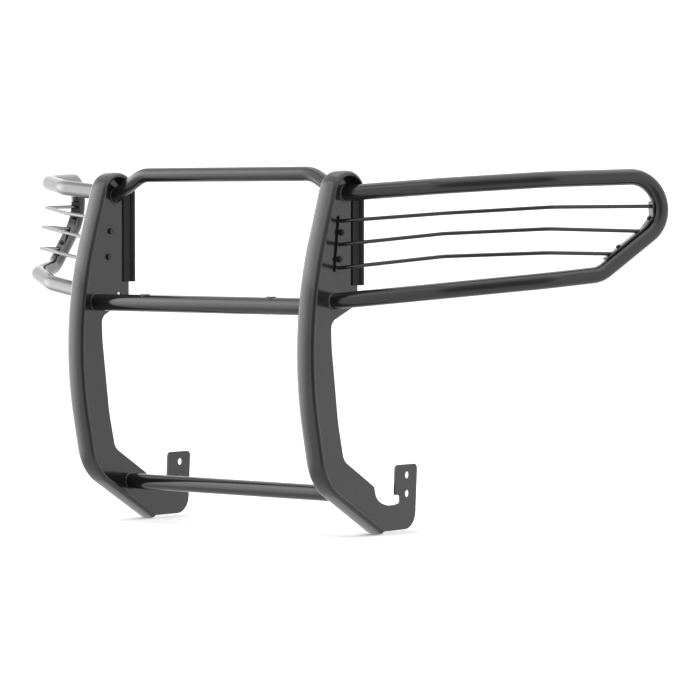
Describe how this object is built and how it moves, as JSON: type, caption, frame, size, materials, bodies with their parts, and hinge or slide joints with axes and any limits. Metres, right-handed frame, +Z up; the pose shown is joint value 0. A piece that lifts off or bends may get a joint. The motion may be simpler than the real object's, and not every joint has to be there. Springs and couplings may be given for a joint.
{
  "type": "front grille guard",
  "caption": "Bolt-on front grille guard: two upright plates with tubular crossbars, rubber edge trims and swept headlight wings with thin guard rods.",
  "frame": {"origin": "bottom centre of the guard's bounding box, on its plane of symmetry", "axes": "+X along the guard's width, towards the right wing seen from the front; -Y to the front of the truck; +Z up"},
  "size_m": [1.9106, 0.6363, 0.8705],
  "materials": {
    "black_powder_coat": "semi-gloss black powder coat on mild steel",
    "painted_weld": "rippled weld bead under the same black powder coat",
    "black_rubber": "matte black extruded rubber",
    "black_plastic": "satin black moulded plastic",
    "black_oxide_steel": "black coated steel fasteners"
  },
  "bodies": {
    "root": {"upper_crossbar": "black_powder_coat", "middle_crossbar": "black_powder_coat", "middle_bar_plugs": "black_plastic", "lower_crossbar": "black_powder_coat", "upright_plate_left": "black_powder_coat", "upright_channel_left": "black_powder_coat", "edge_trim_left": "black_rubber", "wing_tube_left": "black_powder_coat", "inner_rod_strip_left": "black_powder_coat", "outer_rod_strip_left": "black_powder_coat", "upper_rod_left": "black_powder_coat", "middle_rod_left": "black_powder_coat", "lower_rod_left": "black_powder_coat", "inner_strip_bolts_left": "black_oxide_steel", "inner_strip_nuts_left": "black_oxide_steel", "outer_strip_bolts_left": "black_oxide_steel", "outer_strip_inserts_left": "black_oxide_steel", "crossbar_welds_left": "painted_weld", "wing_welds_left": "painted_weld", "upright_plate_right": "black_powder_coat", "upright_channel_right": "black_powder_coat", "edge_trim_right": "black_rubber", "wing_tube_right": "black_powder_coat", "inner_rod_strip_right": "black_powder_coat", "outer_rod_strip_right": "black_powder_coat", "upper_rod_right": "black_powder_coat", "middle_rod_right": "black_powder_coat", "lower_rod_right": "black_powder_coat", "inner_strip_bolts_right": "black_oxide_steel", "inner_strip_nuts_right": "black_oxide_steel", "outer_strip_bolts_right": "black_oxide_steel", "outer_strip_inserts_right": "black_oxide_steel", "crossbar_welds_right": "painted_weld", "wing_welds_right": "painted_weld"}
  },
  "joints": []
}
